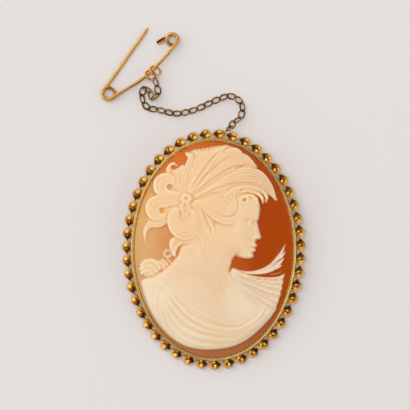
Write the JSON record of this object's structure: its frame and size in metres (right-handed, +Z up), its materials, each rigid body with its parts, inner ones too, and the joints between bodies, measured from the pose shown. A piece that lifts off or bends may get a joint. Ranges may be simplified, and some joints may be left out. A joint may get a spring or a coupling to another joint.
{
  "type": "cameo brooch with safety chain",
  "caption": "Oval carved shell cameo brooch in a gold frame with a twisted ribbon border, lying face up with its safety chain and open safety pin.",
  "frame": {"origin": "middle of the whole object's footprint, on the table", "axes": "+Z up from the table, +Y to the head of the oval, +X to the right of the figure"},
  "size_m": [0.0432, 0.072, 0.0073],
  "materials": {
    "shell": "satin",
    "gold": "polished",
    "old_gold": "satin"
  },
  "bodies": {
    "root": {"end_ring": "gold", "gold_frame": "gold", "link_01": "old_gold", "link_02": "old_gold", "link_03": "old_gold", "link_04": "old_gold", "link_05": "old_gold", "link_06": "old_gold", "link_07": "old_gold", "link_08": "old_gold", "link_09": "old_gold", "link_10": "old_gold", "link_11": "old_gold", "link_12": "old_gold", "link_13": "old_gold", "link_14": "old_gold", "link_15": "old_gold", "link_16": "old_gold", "link_17": "old_gold", "link_18": "old_gold", "link_19": "old_gold", "link_20": "old_gold", "link_21": "old_gold", "link_22": "old_gold", "link_23": "old_gold", "link_24": "old_gold", "link_25": "old_gold", "pin_stem": "gold", "safety_pin": "gold", "shell_cameo": "shell", "spare_ring": "gold"}
  },
  "joints": []
}
